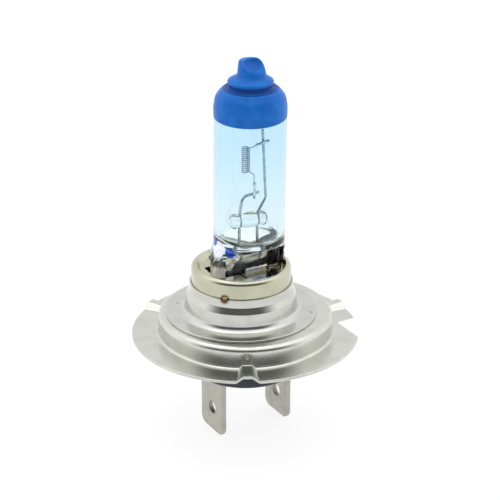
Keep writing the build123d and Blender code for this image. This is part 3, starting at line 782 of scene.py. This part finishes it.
def flat_side(facing, crush=1.0):
    """Places a strip against the broad side of the glass, with hammered waves that grow upwards."""

    def point(across, out, height):
        above = np.clip(height - DISH_Z - 0.2, 0, 1)
        wave = 0.06 * np.sin(2.3 * across + 1.0 + height)
        wave = wave + 0.05 * np.sin(6.1 * across - 2.0 * height)
        y = wy + facing * (PINCH_D / 2 + out + crush * wave * above)
        return np.stack(np.broadcast_arrays(wx + across, y, height), -1)

    return point


END_R = 1.5


def round_side(facing):
    """Places a strip round a narrow end of the glass, on an arc of END_R, crumpled as it rises."""

    def point(across, out, height):
        above = np.clip(height - DISH_Z - 0.3, 0, 3)
        crush = 0.10 * np.sin(7.0 * across + 2.2 * height)
        crush = crush + 0.07 * np.sin(15.0 * across - 3.7 * height)
        reach = END_R + out + crush * above / 1.5
        ragged = height + above * (0.10 * np.sin(5.0 * across) + 0.08 * np.sin(13.0 * across + 1.0))
        x = wx + facing * (PINCH_W / 2 - END_R + reach * np.cos(across))
        return np.stack(np.broadcast_arrays(x, wy + reach * np.sin(across), ragged), -1)

    return point


TONGUE_FOOT = 9.97  # the middle of the floor's sheet


def tongue_line(corners, radii, step):
    """The middle line of a tongue, from the floor up."""
    return rounded(corners, (0, *radii, 0), step=step)


side_line = tongue_line(
    [(0.50, TONGUE_FOOT), (0.20, TONGUE_FOOT), (0.24, 10.6), (0.52, 10.85)], (0.25, 0.25), 0.06
)
back_line = tongue_line(
    [(0.50, TONGUE_FOOT), (0.22, TONGUE_FOOT), (0.20, 10.9), (0.40, 11.15)], (0.25, 0.25), 0.08
)
left_line = tongue_line(
    [(0.34, TONGUE_FOOT), (0.14, TONGUE_FOOT), (0.12, 12.4), (0.22, 12.8)], (0.15, 0.3), 0.08
)
high_line = tongue_line(
    [(0.34, TONGUE_FOOT), (0.16, TONGUE_FOOT), (0.14, 12.4), (0.30, 12.9)], (0.15, 0.4), 0.1
)
hanging_line = tongue_line([(0.04, 10.30), (0.06, 12.4), (0.22, 12.9)], (0.4,), 0.1)
strips = [
    shell(bent_strip(side_line, -1.35, 2.25, flat_side(-1))),
    shell(bent_strip(hanging_line, 2.45, 4.30, flat_side(-1, 2.5), steps=60)),
    shell(bent_strip(back_line, -2.1, 2.6, flat_side(1))),
    shell(bent_strip(left_line, -1.30, 1.10, round_side(-1), steps=60)),
    shell(bent_strip(high_line, -1.25, 1.10, round_side(1), steps=90)),
]
cup_strips = mesh_from("cup_strips", strips)


def joined(name, meshes):
    """One mesh holding several closed ones side by side."""
    work = bmesh.new()
    for mesh in meshes:
        work.from_mesh(mesh)
        bpy.data.meshes.remove(mesh)
    result = bpy.data.meshes.new(name)
    work.to_mesh(result)
    work.free()
    soften(result, 40)
    return result


cup_mesh = joined("rolled_cup", [cup_cut, cup_strips])
place("rolled_cup", cup_mesh, ["retaining_cup"], cup_steel)

# %% [markdown]
# ## The quartz capsule
# Its outside goes from a flat pinch to a round barrel and then closes in a drawn-off tip. Every
# level is a rounded shape, |x / a| ** n + |y / b| ** n = 1, and a, b and n change with height: a
# large n is nearly a rectangle, and n = 2 an ellipse. The cavity is a second, inward-facing shell.

# %% Capsule
LEAN = math.tan(math.radians(0.55))
LEAN_WAY = (math.cos(math.radians(-30)), math.sin(math.radians(-30)))
AXIS_X, AXIS_Y, AXIS_Z = 0.46, -0.265, 12.0
TUBE_R, BORE_R, BARREL_TOP = 5.25, 4.30, 33.0


def lean(points):
    """Moves points given about an upright axis onto the capsule's leaning one."""
    shift = LEAN * (points[..., 2] - AXIS_Z)
    moved = points.copy()
    moved[..., 0] += AXIS_X + LEAN_WAY[0] * shift
    moved[..., 1] += AXIS_Y + LEAN_WAY[1] * shift
    return moved


def levels(z, half_x, half_y, power, steps=192):
    """Rings of the form |x / a| ** n + |y / b| ** n = 1, one for each height."""
    a = np.linspace(0, 2 * math.pi, steps, endpoint=False)[None, :]
    z, half_x, half_y, power = (np.asarray(v, float)[:, None] for v in (z, half_x, half_y, power))
    x = half_x * np.sign(np.cos(a)) * np.abs(np.cos(a)) ** (2 / power)
    y = half_y * np.sign(np.sin(a)) * np.abs(np.sin(a)) ** (2 / power)
    return np.stack(np.broadcast_arrays(x, y, z), -1)


def ridge(x, z, ends, width):
    """1 on the line between two ends and 0 away from it, as exp(-(distance / width) ** 2)."""
    (x0, z0), (x1, z1) = ends
    run = (x1 - x0) ** 2 + (z1 - z0) ** 2
    t = np.clip(((x - x0) * (x1 - x0) + (z - z0) * (z1 - z0)) / run, 0, 1)
    return np.exp(-(((x - x0 - t * (x1 - x0)) ** 2 + (z - z0 - t * (z1 - z0)) ** 2) / width**2))


RIGHT, AWAY = np.array([0.866, -0.5, 0.0]), np.array([0.5, 0.866, 0.0])
UP = np.array([0.0, 0.0, 1.0])
FACET = 0.30 * RIGHT - 0.42 * AWAY + 0.86 * UP
FACET /= np.linalg.norm(FACET)
FACET_CENTRE = 0.30 * RIGHT - 0.22 * AWAY + 41.42 * UP
FACET_LOW, SOFT = 39.9, 0.05


def drawn_off(points, sunk):
    """The tip leans, and the face the flame left on it is a shallow dish.

    Points beyond the plane (p - c) . n = -sunk are pushed back, and log(1 + exp) smooths it."""
    tip = smooth_step((points[..., 2] - 39.3) / 0.6)
    bend = tip * (0.12 - 0.15 * smooth_step((points[..., 2] - FACET_LOW) / 2.1))
    points = points + bend[..., None] * RIGHT
    offset = points - FACET_CENTRE
    beyond = offset @ FACET + sunk
    from_middle = np.linalg.norm(offset - (offset @ FACET)[..., None] * FACET, axis=-1)
    dish = 0.42 * np.clip(1 - (from_middle / 1.35) ** 4, 0, 1)
    lip = 0.12 * np.exp(-(((from_middle - 1.5) / 0.18) ** 2))
    push = SOFT * np.logaddexp(0, (beyond + dish - lip) / SOFT) * (points[..., 2] > FACET_LOW)
    return points - push[..., None] * FACET


DOME = rounded(
    [
        (TUBE_R, BARREL_TOP),
        (5.24, 35.2),
        (4.95, 36.8),
        (3.9, 37.45),
        (2.8, 37.7),
        (2.8, 38.9),
        (1.9, 39.6),
        (1.5, 41.0),
        (1.0, 41.7),
        (0, 41.75),
    ],
    (0, 1.5, 1.5, 0.4, 0.2, 0.3, 0.4, 0.8, 0.3, 0),
    step=0.25,
)
PINCH_SHIFT, WEB, BEAD_AT = -0.26, 1.38, 4.2
z_low = np.concatenate([np.linspace(4.6, 12.6, 41), np.linspace(12.7, 15.2, 36)])
rise = smooth_step((z_low - 12.9) / 2.1)
half_x = 5.70 - 0.45 * rise
half_y = WEB + (TUBE_R - WEB) * rise**0.8
power = 5.5 - 3.5 * smooth_step((z_low - 12.8) / 1.6)
lower = levels(z_low, half_x, half_y, power)
x, y, z = (lower[..., k] for k in range(3))
pressed = 1 - rise[:, None]
lower[..., 1] *= 1 + 0.16 * pressed * np.exp(-(((np.abs(x) - BEAD_AT) / 0.8) ** 2))
on_face = smooth_step((2.4 - np.abs(y)) / 0.5) * smooth_step((3.9 - np.abs(x)) / 0.6) * (z < 13.6)
PRESS_MARKS = (
    ((-3.4, 12.9), (-1.6, 11.4)),
    ((-3.2, 11.3), (-1.8, 12.7)),
    ((1.0, 13.2), (1.5, 11.6)),
    ((2.4, 13.2), (1.7, 11.6)),
    ((-1.0, 13.3), (-0.6, 11.8)),
)
relief = sum(ridge(x, z, mark, 0.20) for mark in PRESS_MARKS)
pad = smooth_step((1.2 - np.abs(x - 2.4)) / 0.3) * smooth_step((0.8 - np.abs(z - 12.0)) / 0.3)
BALLS, BALL_R = ((-2.4, 11.2), (-3.5, 12.0), (0.2, 12.4)), 0.30
ball = sum(np.exp(-(((x - px) ** 2 + (z - pz) ** 2) / BALL_R**2)) for px, pz in BALLS)
lower[..., 1] += np.sign(y) * on_face * (0.16 * pad - 0.26 * relief + 0.22 * ball)
lower[..., 0] += PINCH_SHIFT * pressed
middle_z = np.linspace(15.4, BARREL_TOP, 60)
round_part = np.full(60, TUBE_R)
barrel = levels(middle_z, round_part, round_part, np.full(60, 2.0))
dome = levels(DOME[1:, 1], DOME[1:, 0], DOME[1:, 0], np.full(len(DOME) - 1, 2.0))
base_point = np.broadcast_to(lower[:1].mean((0, 1)), lower[:1].shape)
outside = lean(np.concatenate([base_point, lower, barrel, drawn_off(dome, 0.30)]))

z_in = np.concatenate([np.linspace(13.9, 16.0, 30), np.linspace(16.2, 35.2, 50)])
open_up = np.sqrt(np.clip((z_in - 13.85) / 2.0, 0, 1))
in_x = BORE_R * (0.80 * open_up + 0.20 * smooth_step((z_in - 13.9) / 1.7))
in_y = BORE_R * smooth_step((z_in - 13.6) / 2.2) ** 0.9
cavity_low = levels(z_in, in_x, in_y, np.full(len(z_in), 2.0))
cap_in = rounded([(BORE_R, 35.2), (3.9, 36.9), (2.0, 38.2), (0, 38.5)], (0, 1.5, 1.0, 0), step=0.3)
cavity_top = levels(cap_in[1:, 1], cap_in[1:, 0], cap_in[1:, 0], np.full(len(cap_in) - 1, 2.0))
floor_point = np.broadcast_to(cavity_low[:1].mean((0, 1)), cavity_low[:1].shape)
inside = lean(np.concatenate([floor_point, cavity_low, cavity_top]))
glass_mesh = mesh_from("glass_capsule", [shell(outside), shell(inside, hollow=True)], 60)
place("glass_capsule", glass_mesh, ["quartz_capsule"], quartz_glass)

# %% [markdown]
# ## The painted tip
# The paint follows the glass and stands 0.07 mm proud of it. The pip was pinched off while soft:
# its top leans, and its right side was cut by a slanted plane that curled in as a shallow dish. A
# point that lies beyond that plane is pushed back onto it.

# %% Painted tip
PAINT_LOW, PAINT_TILT = 33.53, 0.33
tip_line = rounded(
    [
        (5.27, PAINT_LOW + PAINT_TILT),
        (5.30, 35.2),
        (5.06, 36.75),
        (4.22, 37.74),
        (3.98, 37.80),
        (3.90, 37.98),
        (3.70, 38.06),
        (3.30, 37.96),
        (3.10, 38.20),
        (3.16, 38.66),
        (3.34, 38.82),
        (3.22, 39.10),
        (2.78, 39.38),
        (2.34, 39.58),
        (2.12, 39.84),
        (2.02, 40.3),
        (1.86, 41.2),
        (1.66, 41.96),
        (0, 42.02),
    ],
    (0, 2.2, 1.8, 0.12, 0.08, 0.08, 0.08, 0.1, 0.1, 0.08)
    + (0.12, 0.2, 0.5, 0.3, 0.2, 0.8, 1.0, 0.2, 0),
    step=0.09,
)
under_line = np.array(
    [(0, 41.2), (1.0, 40.9), (1.5, 40.3), (1.8, 39.5), (2.7, 38.9), (2.85, 37.8), (3.7, 37.5)]
    + [(4.8, 36.6), (5.15, 35.2), (5.22, PAINT_LOW + PAINT_TILT)]
)
outer = drawn_off(turned(tip_line, steps=240), 0.0)
swirl_at = FACET_CENTRE + 0.32 * RIGHT - 0.10 * AWAY - 0.40 * UP
swirl = 0.10 * np.exp(-((np.linalg.norm(outer - swirl_at, axis=-1) / 0.25) ** 2))
outer = outer - swirl[..., None] * FACET
inner = drawn_off(turned(under_line, steps=240), 0.15)
coat = np.concatenate([outer, inner])
near_edge = smooth_step((37.0 - coat[..., 2]) / 3.0)
coat[..., 2] += PAINT_TILT * near_edge * (coat @ AWAY) / 5.3
tip_mesh = mesh_from("painted_tip", [shell(lean(coat), wrap_rows=True)], 60)
place("painted_tip", tip_mesh, ["blue_tip_coat"], blue_enamel)

# %% [markdown]
# ## Filament, posts and bridge
# The wires are tubes along rounded lines in the plane y = 0. The filament's coil is a helix,
# x = r cos t, y = r sin t, z = pitch * t / 2 pi, and its legs run on from it, so the filament is
# one wire. Each leg ends in a small crimped tube that is spot-welded to a post.

# %% Posts
POST_R = 0.215
long_post = rounded(
    [(2.06, 0, 10.2), (2.01, 0, 18.5), (3.54, 0, 20.7), (2.95, 0, 31.3)],
    (0, 0.7, 0.7, 0),
    step=0.4,
)
short_post = rounded(
    [(-1.04, 0, 10.2), (-0.98, 0, 18.7), (-0.45, 0, 21.5), (2.4, 0, 21.8)],
    (0, 2.0, 1.1, 0),
    arc=14,
    step=0.4,
)
for name, node, line in (
    ("long_post", "long_support_wire", long_post),
    ("short_post", "short_support_wire", short_post),
):
    place(name, mesh_from(name, [shell(tube(line, POST_R, 20))]), [node], molybdenum)

# %% Filament
COIL_X, COIL_LOW, COIL_R, PITCH_MM, TURNS = 0.10, 25.2, 0.575, 0.306, 12.75
WIRE_R, CRIMP_Y = 0.075, -0.475
UPPER_CRIMP = [(1.45, CRIMP_Y, 29.24), (3.90, CRIMP_Y, 29.60)]
LOWER_CRIMP = [(1.25, CRIMP_Y, 23.62), (1.25, CRIMP_Y, 21.05)]
t = np.linspace(0, TURNS * 2 * math.pi, 410)
helix = np.column_stack(
    [COIL_X + COIL_R * np.cos(t), COIL_R * np.sin(t), COIL_LOW + PITCH_MM * t / (2 * math.pi)]
)
coil_top = helix[-1, 2]
low_leg = rounded(
    [
        (COIL_X + COIL_R, 0, COIL_LOW),
        (COIL_X + COIL_R, CRIMP_Y, COIL_LOW),
        (1.20, CRIMP_Y, 24.85),
        (1.25, CRIMP_Y, 22.7),
    ],
    (0, 0.2, 0.5, 0),
    step=0.1,
)
high_leg = rounded(
    [helix[-1], (COIL_X + 0.8, -COIL_R, coil_top), UPPER_CRIMP[0], (2.35, CRIMP_Y, 29.37)],
    (0, 0.4, 0.4, 0),
    step=0.1,
)
wire = np.concatenate([low_leg[::-1], helix[1:], high_leg[1:]])
wire = wire[np.concatenate([[True], np.linalg.norm(np.diff(wire, axis=0), axis=1) > 0.01])]
coil_grid = tube(wire, WIRE_R, 10, across=(0.05, 0.05, 1))
filament_mesh = mesh_from("filament", [shell(coil_grid)])
place("filament", filament_mesh, ["filament_coil"], tungsten)

# %% Crimped tubes and their welds
CRIMP_R = 0.22
CRIMPS = {"upper_crimp": UPPER_CRIMP, "lower_crimp": LOWER_CRIMP}
WELD_PLACES = ((3.06, 29.48), (1.25, 21.68))
for (name, ends), (weld_x, weld_z) in zip(CRIMPS.items(), WELD_PLACES):
    line = divided(np.array(ends), 0.08)
    grid = tube(line, CRIMP_R, 20, end=0.12)
    near = np.exp(-(((grid[..., 0] - weld_x) ** 2 + (grid[..., 2] - weld_z) ** 2) / 0.32**2))
    grid[..., 1] = CRIMP_Y + (grid[..., 1] - CRIMP_Y) * (1 - 0.35 * near) + 0.06 * near
    place(name, mesh_from(name, [shell(grid)]), [name + "_sleeve"], crimp_metal_painted_highlight)
nuggets = [
    shell(blob((weld_x, -0.20, weld_z), (0, -1, 0), 0.24, 0.30, crater=0.0, seed=k + 7))
    for k, (weld_x, weld_z) in enumerate(WELD_PLACES)
]
nugget_mesh = mesh_from("crimp_nuggets", nuggets)
place("crimp_nuggets", nugget_mesh, ["crimp_welds"], molybdenum)

# %% Bridge rod
BRIDGE_X, BRIDGE_Z, BRIDGE_R, BRIDGE_L = 0.59, 17.76, 1.15, 6.1
BRIDGE_TILT = math.radians(4.5)
half = BRIDGE_L / 2
rod_line = rounded(
    [(0, -half), (BRIDGE_R, -half), (BRIDGE_R, half), (0, half)],
    (0, 0.85, 0.85, 0),
    arc=12,
    step=0.12,
)
rod = turned(rod_line, steps=64)
along = rod[..., 2]
waists = np.exp(-(((along + 1.6) / 0.45) ** 2)) + np.exp(-(((along - 1.45) / 0.45) ** 2))
lump = 0.97 + 0.03 * np.sin(1.9 * along + 0.6) - 0.16 * waists
rod[..., :2] *= lump[..., None]
c, s = math.cos(BRIDGE_TILT), math.sin(BRIDGE_TILT)
rod_x = BRIDGE_X + along * c + rod[..., 0] * s
rod_z = BRIDGE_Z - along * s + rod[..., 0] * c
rod_mesh = mesh_from("glass_bridge", [shell(np.stack([rod_x, rod[..., 1], rod_z], -1))])
place("glass_bridge", rod_mesh, ["bridge_rod"], bridge_glass)

# %% [markdown]
# ## Moulding and blades
# The dark moulding is a turned body with a pocket. Each blade is a plate with a hole: its rings
# run from the hole's edge over the face to the outline, round the edge, and back on the other
# side, so the edges can be rounded without any cutting.

# %% Moulding
base_line = rounded(
    [
        (0, -6.0),
        (8.0, -6.0),
        (8.0, 1.6),
        (10.5, 1.6),
        (10.5, 2.78),
        (7.3, 2.78),
        (7.3, 4.8),
        (6.9, 4.8),
        (6.9, -2.0),
        (0, -2.0),
    ],
    (0, 0.5, 0.3, 0.2, 0.2, 0.2, 0.15, 0.15, 0.4, 0),
    closed=True,
    step=0.6,
)
base_mesh = mesh_from("base_moulding", [shell(turned(base_line, steps=200), wrap_rows=True)], 35)
place("base_moulding", base_mesh, ["insulator_base"], base_moulding)

# %% Blades
BLADE_T, BLADE_W, BLADE_Y = 0.8, 6.3, -0.87
BLADE_LOW, SHOULDER, TAB_W, TAB_TOP = -14.88, -2.6, 3.0, 1.2
HOLE_R, HOLE_Y, HOLE_Z = 1.0, -1.0, -11.1
y0, y1 = BLADE_Y - BLADE_W / 2, BLADE_Y + BLADE_W / 2
outline = rounded(
    [(y0, BLADE_LOW), (y1, BLADE_LOW), (y1, SHOULDER), (y0, SHOULDER)],
    (1.15, 1.15, 0.1, 0.1),
    closed=True,
    arc=14,
    step=0.35,
)
hole = np.array([HOLE_Y, HOLE_Z])
spoke = outline - hole
spoke /= np.linalg.norm(spoke, axis=1, keepdims=True)
rim_line = hole + HOLE_R * spoke
ROUND = 0.12
quarter = np.linspace(0, math.pi / 2, 6)
tip = smooth_step((BLADE_LOW + 1.3 - outline[:, 1]) / 1.2)[:, None]
level = np.ones_like(tip)
rows = []
for a in quarter:
    near_hole = rim_line + ROUND * (1 - math.cos(a)) * spoke
    rows.append((near_hole, (BLADE_T / 2 - ROUND * (1 - math.sin(a))) * level))
grow = ROUND * (1 + 1.3 * tip)
for a in quarter:
    near_edge = outline - grow * (1 - math.sin(a)) * spoke
    rows.append((near_edge, BLADE_T / 2 - grow * (1 - math.cos(a))))
top_side = np.stack([np.column_stack([depth, line]) for line, depth in rows])
back_side = top_side[::-1] * np.array([-1.0, 1.0, 1.0])
plate = np.concatenate([top_side, back_side])
tab_box = prism(box_outline(0, BLADE_Y, BLADE_T, TAB_W, 0.12), SHOULDER - 0.5, TAB_TOP)
for name, node, blade_x in (
    ("left_blade", "terminal_left", -5.985),
    ("right_blade", "terminal_right", 5.215),
):
    shift = np.array([blade_x, 0.0, 0.0])
    blade_mesh = mesh_from(name, [shell(plate + shift, wrap_rows=True), shell(tab_box + shift)], 40)
    place(name, blade_mesh, [node], blade_plating)

# %% [markdown]
# ## Hidden pieces
# The foils in the pinch, and the leads below it with their welds, keep their CAD meshes. A CAD
# mesh is never moved, and here it only gets its finish.

# %% Carried-over pieces
CARRIED = {
    "pinch_foil_left": foil_metal,
    "pinch_foil_right": foil_metal,
    "outer_lead_left": lead_metal,
    "outer_lead_right": lead_metal,
    "lead_welds": weld_metal,
}
for node, finish in CARRIED.items():
    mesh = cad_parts[node].data
    mesh.materials.clear()
    mesh.materials.append(finish)
print("carried over:", ", ".join(CARRIED))
